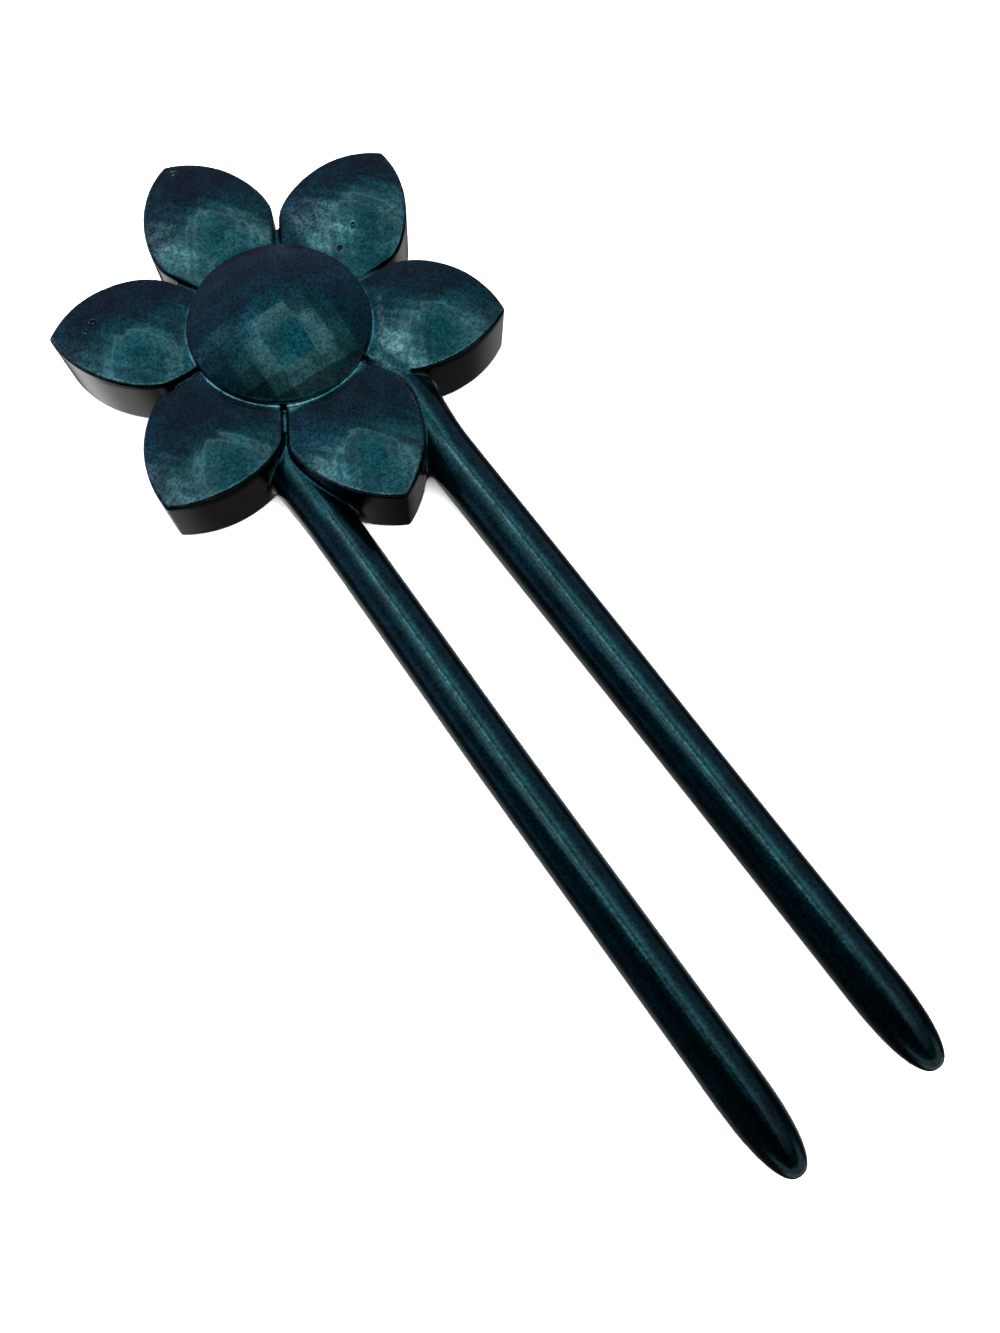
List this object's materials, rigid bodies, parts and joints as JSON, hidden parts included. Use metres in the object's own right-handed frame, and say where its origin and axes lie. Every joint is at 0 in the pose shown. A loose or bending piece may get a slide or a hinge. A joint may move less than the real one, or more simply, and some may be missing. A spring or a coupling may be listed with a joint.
{
  "type": "hair fork",
  "caption": "Flower-headed hair fork: pointed petals round a faceted domed centre, with straight tapered prongs that hold a bun or twist.",
  "frame": {"origin": "centre of the flower head, on its flat back", "axes": "+Z out of the flower's face, -Y along the prongs towards their tips, X across the prongs"},
  "size_m": [0.0432, 0.1254, 0.0106],
  "materials": {
    "resin": "gloss"
  },
  "bodies": {
    "root": {"hair_fork": "resin"}
  },
  "joints": []
}
